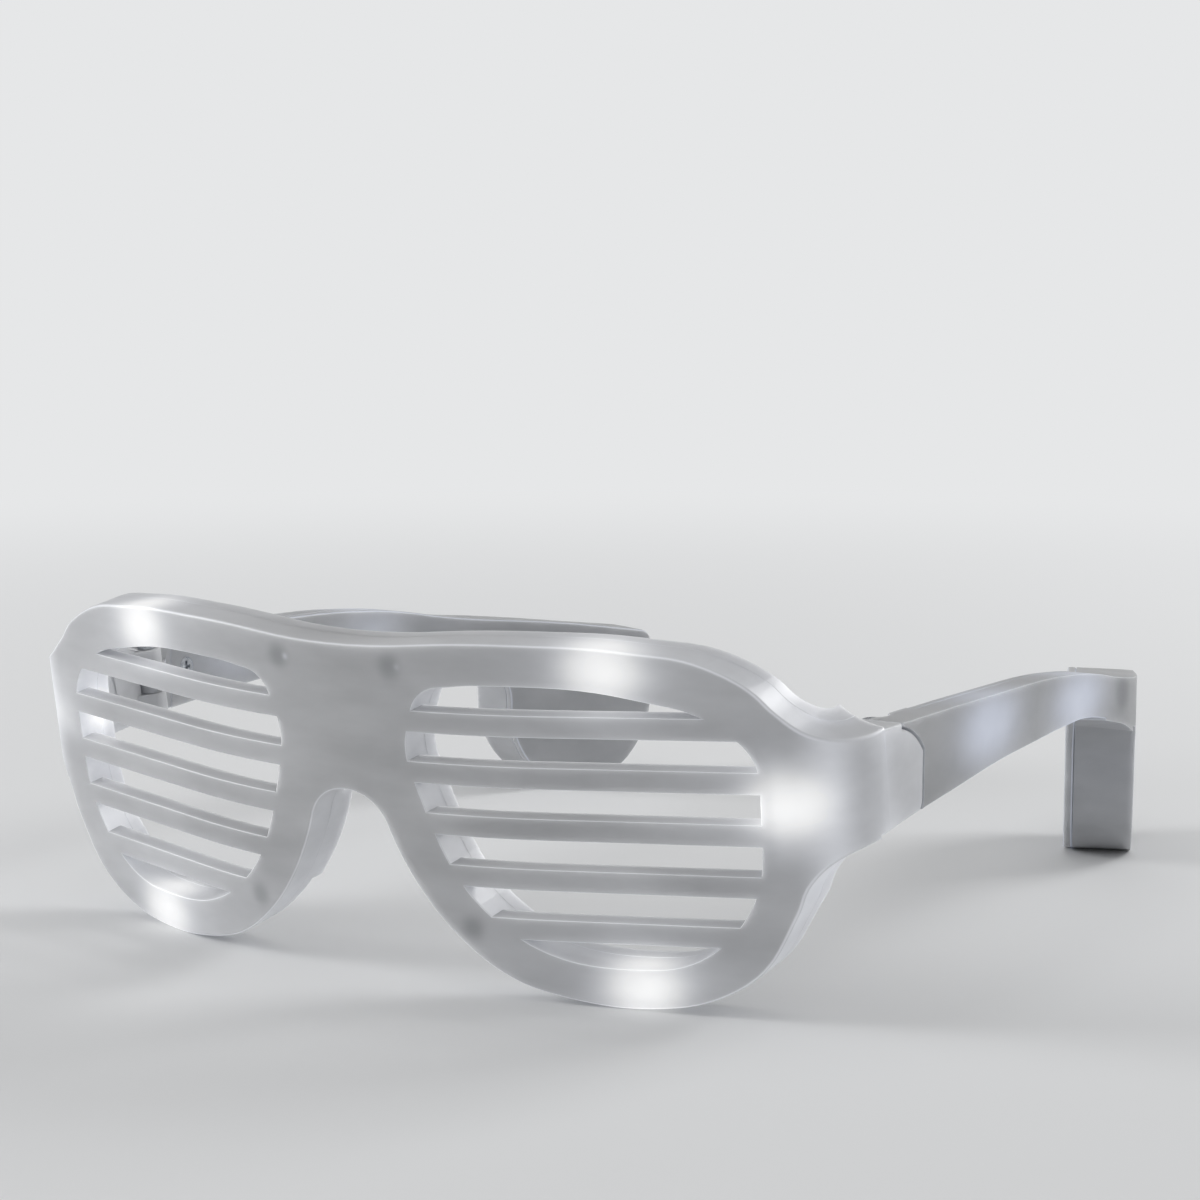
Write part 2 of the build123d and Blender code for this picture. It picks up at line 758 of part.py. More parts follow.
def screw(inner_plane, spot, margin):
    """Screw driven outwards from an inner face, its head flush with it, or with a margin its hole."""
    with BuildPart() as fastener:
        with BuildSketch(inner_plane):
            with Locations(spot):
                Circle(screw_head_radius + margin)
        extrude(amount=screw_head_height)
        with BuildSketch(inner_plane):
            with Locations(spot):
                Circle(screw_radius + margin)
        extrude(amount=screw_head_height + screw_length + margin)
    return fastener.part


def arm_screws(margin):
    """The two screws that close an arm: one behind the hinge, one in the tip."""
    with BuildPart() as pair:
        front_spot = (arm_screw_back - seam_back, arm_screw_height)
        add(screw(arm_plane.offset(-arm_thickness), front_spot, margin))
        add(screw(tip_plane.offset(-tip_thickness), tip_screw_spot, margin))
    return pair.part


# Outer shell of an arm: outer wall, hinge block with the moving knuckle, and the screw pillar
pillar_radius = screw_radius + pillar_wall
cover_seat = tip_thickness - cover_depth
with BuildPart() as arm_shell:
    add(arm_blank.part)
    add(arm_hollow.part, mode=Mode.SUBTRACT)
    add(cover_slab, mode=Mode.SUBTRACT)
    add(tip_disc(tip_screw_spot, pillar_radius, arm_wall - overrun_in, cover_seat))
    add(arm_screws(screw_clearance), mode=Mode.SUBTRACT)
    add(hinge_lug(0, arm_root_in, arm_root_back))
    add(hinge_cylinder(pin_radius + pin_clearance, arch_height, 0), mode=Mode.SUBTRACT)

# Inner cover of an arm
with BuildPart() as arm_cover:
    add(arm_blank.part)
    add(cover_slab, mode=Mode.INTERSECT)
    add(arm_screws(screw_clearance), mode=Mode.SUBTRACT)

# Light strip of an arm, on the cover
with BuildPart() as arm_strip:
    with BuildSketch(arm_plane.offset(cover_depth - arm_thickness)):
        with BuildLine():
            Line(
                (arm_strip_front - seam_back, arm_strip_front_height),
                (arm_strip_end - seam_back, arm_strip_end_height),
            )
        trace(line_width=strip_width)
    extrude(amount=strip_thickness)


def arm_led(back):
    """Light on the arm's strip, at a distance back from the nose arch."""
    share = (back - arm_strip_front) / (arm_strip_end - arm_strip_front)
    height = arm_strip_front_height + share * (arm_strip_end_height - arm_strip_front_height)
    seat = arm_plane.offset(cover_depth + strip_thickness + seat_gap - arm_thickness)
    return led(seat, (back - seam_back, height))


# Battery end. Depths from the tip's outer face: door, cells, contact and seat, from the inside out
door_depth = tip_thickness - door_thickness
inner_cell_depth = door_depth - cell_face_gap - cell_depth
outer_cell_depth = inner_cell_depth - cell_face_gap - cell_depth
contact_depth = outer_cell_depth - cell_face_gap - contact_thickness
well_radius = cell_radius + cell_side_gap
door_screw_spot = (tip_middle - door_ear_offset, tip_radius - door_ear_offset)
door_hole_radius = door_screw_radius + screw_clearance
door_hole_depth = door_depth - door_screw_length


def door_outline(margin):
    """Round battery door with an ear for its screw, grown by a margin."""
    with BuildSketch() as outline:
        with Locations(cell_spot):
            Circle(door_radius + margin)
        with Locations(door_screw_spot):
            Circle(door_ear_radius + margin)
        make_hull()
    return outline.sketch


with BuildPart() as left_arm_shell:
    add(arm_shell.part)
    add(tip_disc(cell_spot, well_radius + well_wall, arm_wall - overrun_in, cover_seat))
    add(tip_disc(cell_spot, well_radius, arm_wall, cover_seat), mode=Mode.SUBTRACT)
    add(tip_disc(cell_spot, seat_radius, arm_wall - overrun_in, contact_depth))
    add(tip_disc(cell_spot, seat_radius - well_wall, arm_wall, contact_depth), mode=Mode.SUBTRACT)
    add(tip_disc(door_screw_spot, door_ear_radius, arm_wall - overrun_in, cover_seat))
    with BuildSketch(tip_plane.offset(-cover_seat)):
        with Locations((tip_middle, tip_radius + well_radius)):
            Rectangle(contact_width + 2 * contact_slot_gap, 2 * well_wall + 2 * contact_slot_gap)
    extrude(amount=cover_seat - contact_depth, mode=Mode.SUBTRACT)
    add(tip_disc(door_screw_spot, door_hole_radius, door_hole_depth, tip_thickness), mode=Mode.SUBTRACT)
left_arm_shell.part.label = "left_arm_shell"
export_step(left_arm_shell.part, "parts/left_arm_shell.step")

with BuildPart() as left_arm_cover:
    add(arm_cover.part)
    add(tip_disc(cell_spot, well_radius, arm_wall, tip_thickness), mode=Mode.SUBTRACT)
    with BuildSketch(tip_plane.offset(-tip_thickness)):
        add(door_outline(door_gap))
    extrude(amount=door_thickness, mode=Mode.SUBTRACT)
    add(tip_disc(door_screw_spot, door_hole_radius, arm_wall, tip_thickness), mode=Mode.SUBTRACT)
left_arm_cover.part.label = "left_arm_cover"
export_step(left_arm_cover.part, "parts/left_arm_cover.step")

with BuildPart() as battery_door:
    with BuildSketch(tip_plane.offset(-tip_thickness)):
        add(door_outline(0))
    extrude(amount=door_thickness)
    add(tip_disc(door_screw_spot, door_hole_radius, arm_wall, tip_thickness), mode=Mode.SUBTRACT)
    head_seat = tip_thickness - door_screw_head_height
    add(
        tip_disc(door_screw_spot, door_screw_head_radius + screw_clearance, head_seat, tip_thickness),
        mode=Mode.SUBTRACT,
    )
battery_door.part.label = "battery_door"
export_step(battery_door.part, "parts/battery_door.step")

with BuildPart() as door_screw:
    add(tip_disc(door_screw_spot, door_screw_head_radius, head_seat, tip_thickness))
    add(tip_disc(door_screw_spot, door_screw_radius, head_seat - door_screw_length, head_seat))
door_screw.part.label = "door_screw"
export_step(door_screw.part, "parts/door_screw.step")

with BuildPart() as coin_cell_outer:
    add(tip_disc(cell_spot, cell_radius, outer_cell_depth, outer_cell_depth + cell_depth))
coin_cell_outer.part.label = "coin_cell_outer"
export_step(coin_cell_outer.part, "parts/coin_cell_outer.step")

with BuildPart() as coin_cell_inner:
    add(tip_disc(cell_spot, cell_radius, inner_cell_depth, inner_cell_depth + cell_depth))
coin_cell_inner.part.label = "coin_cell_inner"
export_step(coin_cell_inner.part, "parts/coin_cell_inner.step")

# Contact under the cells: a strip on the seat ring, with its tail out through the well's slot
with BuildPart() as contact_negative:
    with BuildSketch(tip_plane.offset(-(contact_depth + contact_thickness))):
        with Locations((tip_middle, tip_radius + well_radius + well_wall - contact_length / 2)):
            Rectangle(contact_width, contact_length)
    extrude(amount=contact_thickness)
contact_negative.part.label = "contact_negative"
export_step(contact_negative.part, "parts/contact_negative.step")

# Contact beside the cells: a blade in the well's slot, with a foot outside the well
blade_up = tip_radius + cell_radius + cell_face_gap
blade_depth = cover_seat - cell_face_gap
with BuildPart() as contact_positive:
    with BuildSketch(tip_plane.offset(-blade_depth)):
        with Locations((tip_middle, blade_up + contact_thickness / 2)):
            Rectangle(contact_width, contact_thickness)
    extrude(amount=spring_height)
    with BuildSketch(tip_plane.offset(-blade_depth)):
        with Locations((tip_middle, blade_up + well_wall)):
            Rectangle(contact_width, 2 * well_wall)
    extrude(amount=contact_thickness)
contact_positive.part.label = "contact_positive"
export_step(contact_positive.part, "parts/contact_positive.step")

# Switch end, modelled on the left like the arm and mirrored to the right
button_seat = arm_wall + button_flange_gap
plunger_top = button_seat + button_flange_depth
switch_top = board_depth - switch_depth
with BuildPart() as right_arm_shell:
    add(arm_shell.part)
    add(tip_disc(cell_spot, button_radius + button_gap, -arm_wall, 2 * arm_wall), mode=Mode.SUBTRACT)
    mirror(about=Plane.YZ, mode=Mode.REPLACE)
right_arm_shell.part.label = "right_arm_shell"
export_step(right_arm_shell.part, "parts/right_arm_shell.step")

with BuildPart() as right_arm_cover:
    add(arm_cover.part)
    with BuildSketch(tip_plane.offset(-cover_seat)):
        with Locations(cell_spot):
            with GridLocations(2 * board_post_across, 2 * board_post_up, 2, 2):
                Rectangle(board_post_width, board_post_width)
    extrude(amount=cover_seat - board_depth - board_thickness - seat_gap)
    mirror(about=Plane.YZ, mode=Mode.REPLACE)
right_arm_cover.part.label = "right_arm_cover"
export_step(right_arm_cover.part, "parts/right_arm_cover.step")

with BuildPart() as circuit_board:
    with BuildSketch(tip_plane.offset(-(board_depth + board_thickness))):
        with Locations(cell_spot):
            RectangleRounded(board_width, board_height, board_corner)
    extrude(amount=board_thickness)
    mirror(about=Plane.YZ, mode=Mode.REPLACE)
circuit_board.part.label = "circuit_board"
export_step(circuit_board.part, "parts/circuit_board.step")

with BuildPart() as controller_chip:
    with BuildSketch(tip_plane.offset(-board_depth)):
        with Locations((tip_middle, tip_radius - chip_drop)):
            Rectangle(chip_size, chip_size)
    extrude(amount=chip_depth)
    mirror(about=Plane.YZ, mode=Mode.REPLACE)
controller_chip.part.label = "controller_chip"
export_step(controller_chip.part, "parts/controller_chip.step")

with BuildPart() as switch_body:
    with BuildSketch(tip_plane.offset(-board_depth)):
        with Locations(cell_spot):
            Rectangle(switch_size, switch_size)
    extrude(amount=switch_depth)
    bore_radius = plunger_radius + plunger_clearance
    bore_end = plunger_top + plunger_length + button_travel + plunger_clearance
    add(tip_disc(cell_spot, bore_radius, switch_top, bore_end), mode=Mode.SUBTRACT)
    mirror(about=Plane.YZ, mode=Mode.REPLACE)
switch_body.part.label = "switch_body"
export_step(switch_body.part, "parts/switch_body.step")

with BuildPart() as switch_plunger:
    add(tip_disc(cell_spot, plunger_radius, plunger_top, plunger_top + plunger_length))
    mirror(about=Plane.YZ, mode=Mode.REPLACE)
switch_plunger.part.label = "switch_plunger"
export_step(switch_plunger.part, "parts/switch_plunger.step")

with BuildPart() as button_cap:
    add(tip_disc(cell_spot, button_radius, -button_proud, plunger_top))
    chamfer(button_cap.faces().sort_by(Axis(tip_plane.origin, tip_plane.z_dir))[-1].edges(), button_bevel)
    add(tip_disc(cell_spot, button_flange_radius, button_seat, plunger_top))
    mirror(about=Plane.YZ, mode=Mode.REPLACE)
button_cap.part.label = "button_cap"
export_step(button_cap.part, "parts/button_cap.step")

# Pieces that both arms have: screws, strip and two lights
for side_name in ("left", "right"):
    with BuildPart() as screws:
        add(arm_screws(0))
        if side_name == "right":
            mirror(about=Plane.YZ, mode=Mode.REPLACE)
    screws.part.label = f"{side_name}_arm_screws"
    export_step(screws.part, f"parts/{side_name}_arm_screws.step")
    with BuildPart() as strip:
        add(arm_strip.part)
        if side_name == "right":
            mirror(about=Plane.YZ, mode=Mode.REPLACE)
    strip.part.label = f"{side_name}_arm_strip"
    export_step(strip.part, f"parts/{side_name}_arm_strip.step")
    for place, back in zip(("front", "rear"), arm_led_backs):
        with BuildPart() as light:
            add(arm_led(back))
            if side_name == "right":
                mirror(about=Plane.YZ, mode=Mode.REPLACE)
        light.part.label = f"{side_name}_arm_led_{place}"
        export_step(light.part, f"parts/{side_name}_arm_led_{place}.step")
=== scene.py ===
import json
from math import cos, radians, sin

import bmesh
import bpy
from mathutils import Matrix, Vector
from mathutils.bvhtree import BVHTree
from mathutils.geometry import barycentric_transform
from mathutils.geometry import normal as normal_of


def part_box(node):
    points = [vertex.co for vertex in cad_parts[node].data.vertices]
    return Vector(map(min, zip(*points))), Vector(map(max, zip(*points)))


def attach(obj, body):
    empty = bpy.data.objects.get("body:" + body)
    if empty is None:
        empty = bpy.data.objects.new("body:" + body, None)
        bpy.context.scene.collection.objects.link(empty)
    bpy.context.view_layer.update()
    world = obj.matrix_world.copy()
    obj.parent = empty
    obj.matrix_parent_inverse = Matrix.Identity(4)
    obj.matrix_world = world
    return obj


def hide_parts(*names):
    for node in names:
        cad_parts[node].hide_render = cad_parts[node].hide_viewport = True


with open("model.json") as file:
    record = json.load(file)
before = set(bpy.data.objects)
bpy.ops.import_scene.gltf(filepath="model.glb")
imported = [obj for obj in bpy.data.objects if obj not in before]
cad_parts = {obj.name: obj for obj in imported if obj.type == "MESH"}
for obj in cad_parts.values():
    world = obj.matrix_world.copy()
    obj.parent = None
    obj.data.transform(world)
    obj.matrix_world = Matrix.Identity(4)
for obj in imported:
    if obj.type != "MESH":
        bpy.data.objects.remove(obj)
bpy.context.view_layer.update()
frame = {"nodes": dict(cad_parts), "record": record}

# Slatted light-up glasses in frosted white plastic, standing open on a pale floor in soft light.
# Lengths are in millimetres where a name ends in _mm or _MM, and in metres elsewhere. Left and right are the
# wearer's.

MM = 0.001
UP = Vector((0, 0, 1))
LEFT = Vector((1, 0, 0))
SIDES = (("left", 1), ("right", -1))
slot_of = {subpart["node"]: subpart["material_slot"] for subpart in frame["record"]["subparts"]}
bodies = frame["record"]["behaviour"]["bodies"]
body_of_node = {node: body for body, nodes in bodies.items() for node in nodes}

# Camera of the three-quarter view: in front of the glasses, to their left and above the brow
CAMERA_PLACE_MM = Vector((237.6, -390.65, 107.4))
CAMERA_TURN = radians(32.09)
CAMERA_DROP = radians(7.39)
CAMERA_ROLL = radians(0.15)
CAMERA_LENS_MM = 81.6
CAMERA_SENSOR_MM = 36.0

# Front: the nose arch, the lean, the depth of both shells, and a height over the arch that is on the bridge
ARCH_MM = Vector((0.0, -81.4, 29.4))
LEAN = radians(8.8)
FORWARD = Vector((0, -cos(LEAN), -sin(LEAN)))
ALONG_FRONT = Vector((0, -sin(LEAN), cos(LEAN)))
FRONT_DEPTH_MM = 7.4
BRIDGE_UP_MM = 10.0

# Directions in which the outer faces of the left arm and of its tip look
ARM_TOE = radians(1.5)
TIP_TURN = radians(22.0)
ARM_OUT = Vector((cos(ARM_TOE), sin(ARM_TOE), 0))
TIP_OUT = Vector((cos(TIP_TURN), sin(TIP_TURN), 0))

# Painted shadows of what lies behind the milky walls: the front's four pegs, across and up from the arch,
# with a painted glint beside the upper two, the solid wall behind each arm's lights, which the wires pass,
# and what fills each tip
PEGS_MM = ((10.0, 19.2), (-10.0, 19.2), (19.6, -19.6), (-19.6, -19.6))
PEG_DEPTH_MM = 0.8
PEG_GLINT_MM = 1.3
WIRE_WALL_MM = Vector((72.6, 36.5, 33.6))
TIP_MIDDLE_MM = Vector((62.8, 68.7, 17.35))

# Each light's glow lies near the face in front of it, and the right rim's side light sits deeper. A factor
# below one draws a glow out along that axis. The hinges' thick plastic, in front of the pins, stays darker
GLOW_FORWARD_MM = 2.6
DEEP_GLOW_FORWARD_MM = -0.6
DEEP_GLOW_REACH = 0.7
RIM_GLOW_DRAWN_OUT = (0.82, 1.0, 1.0)
ARM_GLOW_DRAWN_OUT = (1.0, 0.5, 1.0)
HINGE_FORWARD_MM = 4.0

# How steeply soft spots fall away: halos, cores, shadows and lenses
SOFT_POWER = 2.0
CORE_POWER = 2.6
SHADOW_POWER = 3.0
LENS_POWER = 4.0

# Painted light that the frosted plastic leads away from its lights: how far it goes along walls and all
# round, how side walls let it out, how bright the painted highlight on every rounded edge is, and what the
# hinges hold back
LED_REACH_MM = 36.0
WASH_REACH_MM = 26.0
WALL_POWER = 2.5
LEVEL_POWER = 4.0
EDGE_POWER = 3.0
EDGE_LIGHT = 0.22
HINGE_HOLD_MM = 10.0
HINGE_HOLD = 0.9

# Glint beside a peg, and the share of a core's strength from which its tint is full
GLINT_MM = 0.5
GLINT_STRENGTH = 0.3
FULL_TINT = 0.6

# Values that a noise texture mostly lies between, and a scale that is the same along every axis
NOISE_SPAN = (0.3, 0.7)
EVEN = (1.0, 1.0, 1.0)


def srgb(code):
    """Linear colour of an sRGB hex code."""
    parts = [int(code[i:i + 2], 16) / 255 for i in (0, 2, 4)]
    linear = [part / 12.92 if part <= 0.04045 else ((part + 0.055) / 1.055) ** 2.4 for part in parts]
    return (*linear, 1.0)


def on_front(across, up, depth):
    """Point of the leaning front, in millimetres, from the arch."""
    return ARCH_MM + across * LEFT + up * ALONG_FRONT - depth * FORWARD


def middle_of(node):
    """Middle of a CAD node, in metres."""
    low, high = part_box(node)
    return (low + high) / 2


def mirrored(spot):
    """The same place on the other side."""
    return Vector((-spot.x, spot.y, spot.z))


# Places of the lights, and of what is seen through the plastic
rim_lights = []
for side_name, _ in SIDES:
    for light in ("top", "side", "bottom"):
        deep = side_name == "right" and light == "side"
        forward_mm = DEEP_GLOW_FORWARD_MM if deep else GLOW_FORWARD_MM
        rim_lights.append((middle_of(f"led_{side_name}_{light}") + FORWARD * forward_mm * MM,
                           DEEP_GLOW_REACH if deep else 1.0))
arm_lights = []
for side_name, side in SIDES:
    for light in ("front", "rear"):
        outside = middle_of(f"{side_name}_arm_led_{light}") + LEFT * side * GLOW_FORWARD_MM * MM
        arm_lights.append((outside, 1.0))

peg_spots = [(on_front(across, up, PEG_DEPTH_MM) * MM, 1.0) for across, up in PEGS_MM]
peg_glints = [(on_front(across + PEG_GLINT_MM, up, 0.0) * MM, 1.0) for across, up in PEGS_MM[:2]]
wire_walls = [(spot * MM, 1.0) for spot in (WIRE_WALL_MM, mirrored(WIRE_WALL_MM))]
tip_middles = [(spot * MM, 1.0) for spot in (TIP_MIDDLE_MM, mirrored(TIP_MIDDLE_MM))]
hinges = []
for side_name, _ in SIDES:
    hinges.append((middle_of(f"hinge_pin_{side_name}") + FORWARD * HINGE_FORWARD_MM * MM, 1.0))


def connect(node, *values, **named):
    """Link or set those inputs of a node that are in use, in order or by name. A socket is linked, a node is
    linked by its first output in use, and anything else is set."""
    sockets = [socket for socket in node.inputs if socket.enabled]
    by_name = {socket.name: socket for socket in sockets}
    pairs = list(zip(sockets, values)) + [(by_name[name.replace("_", " ")], named[name]) for name in named]
    for socket, value in pairs:
        if isinstance(value, bpy.types.Node):
            value = next(output for output in value.outputs if output.enabled)
        if isinstance(value, bpy.types.NodeSocket):
            node.id_data.links.new(value, socket)
        else:
            socket.default_value = value


def add_node(tree, kind, *values, stops=(), **named):
    """Add a node with its settings and inputs. A name with a capital letter is an input's, and any other is a
    setting's. A ramp also has stops, which are pairs of a place and a hex code."""
    node = tree.nodes.new(f"ShaderNode{kind}")
    for name in named:
        if name[0].islower():
            setattr(node, name, named[name])
    connect(node, *values, **{name: named[name] for name in named if name[0].isupper()})
    for number, (place, code) in enumerate(stops):
        element = node.color_ramp.elements[number]
        element.position = place
        element.color = srgb(code)
    return node


def new_material(name, **values):
    """Material with a Principled shader, its sockets set from values. Returns material, tree and shader."""
    made = bpy.data.materials.new(name)
    made.use_nodes = True
    shader = made.node_tree.nodes["Principled BSDF"]
    connect(shader, **values)
    return made, made.node_tree, shader


def nearest(tree, place, spots):
    """Distance to the nearest of some spots, each divided by its own reach."""
    least = None
    for spot, reach in spots:
        apart = add_node(tree, "VectorMath", place, spot, operation="DISTANCE")
        share = add_node(tree, "Math", apart, reach, operation="DIVIDE")
        least = share if least is None else add_node(tree, "Math", least, share, operation="MINIMUM")
    return least


def falloff(tree, distance, radius_mm, height, power=SOFT_POWER):
    """Soft spot that has a height in its middle and falls away over a radius, faster for a higher power."""
    share = add_node(tree, "Math", distance, radius_mm * MM, operation="DIVIDE")
    steep = add_node(tree, "Math", share, power, operation="POWER")
    fall = add_node(tree, "Math", steep, -1.0, operation="MULTIPLY")
    bell = add_node(tree, "Math", fall, operation="EXPONENT")
    return add_node(tree, "Math", bell, height, operation="MULTIPLY")


def leanings(tree, normal, axis):
    """How much a place lies on a wall beside the faces that look along an axis, on the rounded edge between
    them, and on such a wall that looks neither up nor down. Each goes from 0 to 1."""
    facing = add_node(tree, "VectorMath", normal, axis, operation="DOT_PRODUCT")
    straight = add_node(tree, "Math", facing, operation="ABSOLUTE")
    wall = add_node(tree, "Math", 1.0, straight, operation="SUBTRACT")

    # Sine square times cosine square is greatest, a quarter, halfway between face and wall
    cosine_square = add_node(tree, "Math", facing, 2.0, operation="POWER")
    sine_square = add_node(tree, "Math", 1.0, cosine_square, operation="SUBTRACT")
    slant = add_node(tree, "Math", sine_square, cosine_square, operation="MULTIPLY")
    whole = add_node(tree, "Math", slant, 4.0, operation="MULTIPLY")
    edge = add_node(tree, "Math", whole, EDGE_POWER, operation="POWER")

    height = add_node(tree, "VectorMath", normal, UP, operation="DOT_PRODUCT")
    upward = add_node(tree, "Math", height, LEVEL_POWER, operation="POWER")
    level = add_node(tree, "Math", 1.0, upward, operation="SUBTRACT")
    steep_wall = add_node(tree, "Math", wall, WALL_POWER, operation="POWER")
    sideways = add_node(tree, "Math", steep_wall, level, operation="MULTIPLY")
    return wall, edge, sideways


def frosted_plastic(name, axis, tones, tints, lights, drawn_out, core, halo, led, wash, shadows, glints=()):
    """Frosted polycarbonate, injection moulded: milky and satin on its faces, shinier on its walls, with a
    glow in front of each light and soft shadows of what touches it from inside.

    Its faces look along the axis. Tones of the plastic and tints of the glow are two hex codes each. Lights
    and glints are spots with a reach. Core and halo are a radius in millimetres and a strength, and led and
    wash are strengths. A shadow is its spots, its radius in millimetres, its depth and a hex code."""
    made, tree, shader = new_material(
        name,
        IOR=1.58,
        Subsurface_Weight=0.85,
        Subsurface_Radius=EVEN,
        Subsurface_Scale=4.0 * MM,
        Coat_Weight=0.12,
        Coat_Roughness=0.2,
    )
    coordinates = add_node(tree, "TexCoord")
    place = coordinates.outputs["Object"]
    wall, edge, sideways = leanings(tree, coordinates.outputs["Normal"], axis)

    # Flow of the melt: a cloudy tone, drawn out across the front
    flow_mm = 14.0
    drawn = add_node(tree, "Mapping", Vector=place, Scale=(0.5, 1.0, 1.6))
    flow = add_node(tree, "TexNoise", Vector=drawn, Scale=1 / (flow_mm * MM), Detail=4.0)
    tone = add_node(tree, "ValToRGB", flow, stops=zip(NOISE_SPAN, tones))
    # Painted shadows: the tone is darkened round each shadow's spots, where something lies behind the wall
    for spots, radius_mm, depth, code in shadows:
        spot = falloff(tree, nearest(tree, place, spots), radius_mm, depth, SHADOW_POWER)
        tone = add_node(tree, "Mix", spot, tone, srgb(code), data_type="RGBA")

    # Satin from the blasted mould face, less rough on the walls and uneven with the flow. The real grain is
    # 0.05 mm, and it is drawn ten times as coarse, to show
    face_rough, less_on_walls, more_in_clouds = 0.52, 0.2, 0.08
    grain_mm, grain_depth_mm = 0.5, 0.02
    satin = add_node(tree, "Math", wall, -less_on_walls, face_rough, operation="MULTIPLY_ADD")
    satin = add_node(tree, "Math", flow, more_in_clouds, satin, operation="MULTIPLY_ADD")
    grain = add_node(tree, "TexNoise", Vector=place, Scale=1 / (grain_mm * MM), Detail=2.0)
    bump = add_node(tree, "Bump", Strength=0.12, Distance=grain_depth_mm * MM, Height=grain)

    # Glow in front of each light
    along = add_node(tree, "Mapping", Vector=place, Scale=drawn_out)
    away = nearest(tree, along, [(spot * Vector(drawn_out), reach) for spot, reach in lights])
    bright = falloff(tree, away, *core, CORE_POWER)
    glow = [bright, falloff(tree, away, *halo), falloff(tree, away, WASH_REACH_MM, wash)]

    # Painted light led along in the plastic, which leaves it at side walls near the lights, and a painted
    # highlight of even strength on every rounded edge, both less so at the hinges
    led_out = add_node(tree, "Math", falloff(tree, away, LED_REACH_MM, led), sideways, operation="MULTIPLY")
    led_out = add_node(tree, "Math", edge, EDGE_LIGHT, led_out, operation="MULTIPLY_ADD")
    held = falloff(tree, nearest(tree, place, hinges), HINGE_HOLD_MM, HINGE_HOLD, SHADOW_POWER)
    passed = add_node(tree, "Math", 1.0, held, operation="SUBTRACT")
    glow.append(add_node(tree, "Math", led_out, passed, operation="MULTIPLY"))

    # Painted glint: a small emitted highlight beside a peg
    if glints:
        glow.append(falloff(tree, nearest(tree, place, glints), GLINT_MM, GLINT_STRENGTH))
    strength = glow[0]
    for part in glow[1:]:
        strength = add_node(tree, "Math", strength, part, operation="ADD")
    _, core_strength = core
    share = add_node(tree, "Math", bright, core_strength, operation="DIVIDE")
    tint = add_node(tree, "ValToRGB", share, stops=zip((0.0, FULL_TINT), tints))
    connect(shader, Base_Color=tone, Roughness=satin, Normal=bump)
    connect(shader, Emission_Strength=strength, Emission_Color=tint)
    return made


rim_plastic = frosted_plastic(
    "polycarbonate_moulded_frosted_rims",
    axis=FORWARD,
    tones=("A6A7A9", "BFC0C2"),
    tints=("EFF2FB", "FFFFFF"),
    lights=rim_lights,
    drawn_out=RIM_GLOW_DRAWN_OUT,
    core=(5.2, 0.46),
    halo=(9.2, 0.08),
    led=0.3,
    wash=0.065,
    shadows=[(peg_spots, 1.9, 0.6, "7C7E81")],
    glints=peg_glints,
)
# Painted shade: the arms' plastic is the rims' plastic with darker tones, for the hollow arms and the edge
# light that falls on them more
arm_plastic = frosted_plastic(
    "polycarbonate_moulded_frosted_arms",
    axis=LEFT,
    tones=("999A9C", "ACADAF"),
    tints=("D3DDF6", "DCE6FF"),
    lights=arm_lights,
    drawn_out=ARM_GLOW_DRAWN_OUT,
    core=(5.6, 0.26),
    halo=(9.0, 0.08),
    led=0.1,
    wash=0.0,
    shadows=[(wire_walls, 3.4, 0.5, "606265"), (tip_middles, 12.5, 0.2, "8C8E91")],
)


def clouded(name, tones, grain_mm, roughness, uneven, span=NOISE_SPAN, detail=3.0, stretch=EVEN, relief=0.0,
            **values):
    """Material whose tone, roughness and relief vary with a noise of some millimetres. Uneven is how much the
    noise adds to the roughness, and values are for the shader's own sockets."""
    made, tree, shader = new_material(name, **values)
    place = add_node(tree, "TexCoord").outputs["Object"]
    drawn = add_node(tree, "Mapping", Vector=place, Scale=stretch)
    grain = add_node(tree, "TexNoise", Vector=drawn, Scale=1 / (grain_mm * MM), Detail=detail)
    tone = add_node(tree, "ValToRGB", grain, stops=zip(span, tones))
    rough = add_node(tree, "Math", grain, uneven, roughness, operation="MULTIPLY_ADD")
    connect(shader, Base_Color=tone, Roughness=rough)
    if relief:
        grain_depth_mm = 0.01
        bump = add_node(tree, "Bump", Strength=relief, Distance=grain_depth_mm * MM, Height=grain)
        connect(shader, Normal=bump)
    return made


def lit_lens():
    """Light: white PPA base, moulded, with a clear silicone lens that glows when it is lit."""
    lens_mm = 2.9
    made, tree, shader = new_material(
        "ppa_moulded_with_silicone_lens", Roughness=0.3, IOR=1.45, Emission_Color=srgb("F4F7FF")
    )
    place = add_node(tree, "TexCoord").outputs["Object"]
    lenses = [(middle_of(node), 1.0) for node in slot_of if slot_of[node] == "light"]
    lens = falloff(tree, nearest(tree, place, lenses), lens_mm, 1.0, LENS_POWER)
    tone = add_node(tree, "ValToRGB", lens, stops=((0.2, "EDEDE8"), (0.5, "F4E9B8")))
    connect(shader, Base_Color=tone, Emission_Strength=lens)
    return made


def light_strip():
    """Flexible strip: polyimide with a white coverlay, printed, and shinier tinned pads about every 10 mm.
    They are the crests of a wave texture, whose diagonal bands repeat every 0.628 at a scale of one."""
    pad_pitch_mm, band_repeat, crest = 10.0, 0.628, 0.93
    made, tree, shader = new_material("polyimide_printed_white", IOR=1.5)
    place = add_node(tree, "TexCoord").outputs["Object"]
    bands = add_node(tree, "TexWave", Vector=place, Scale=band_repeat / (pad_pitch_mm * MM), Distortion=0.4,
                     Detail=0.0, bands_direction="DIAGONAL")
    pads = add_node(tree, "Math", bands.outputs["Fac"], crest, operation="GREATER_THAN")
    tone = add_node(tree, "ValToRGB", pads, stops=((0.0, "DAD9D0"), (1.0, "B9BBBE")))
    strip_rough, less_on_pads = 0.55, 0.25
    rough = add_node(tree, "Math", pads, -less_on_pads, strip_rough, operation="MULTIPLY_ADD")
    connect(shader, Base_Color=tone, Metallic=pads, Roughness=rough)
    return made


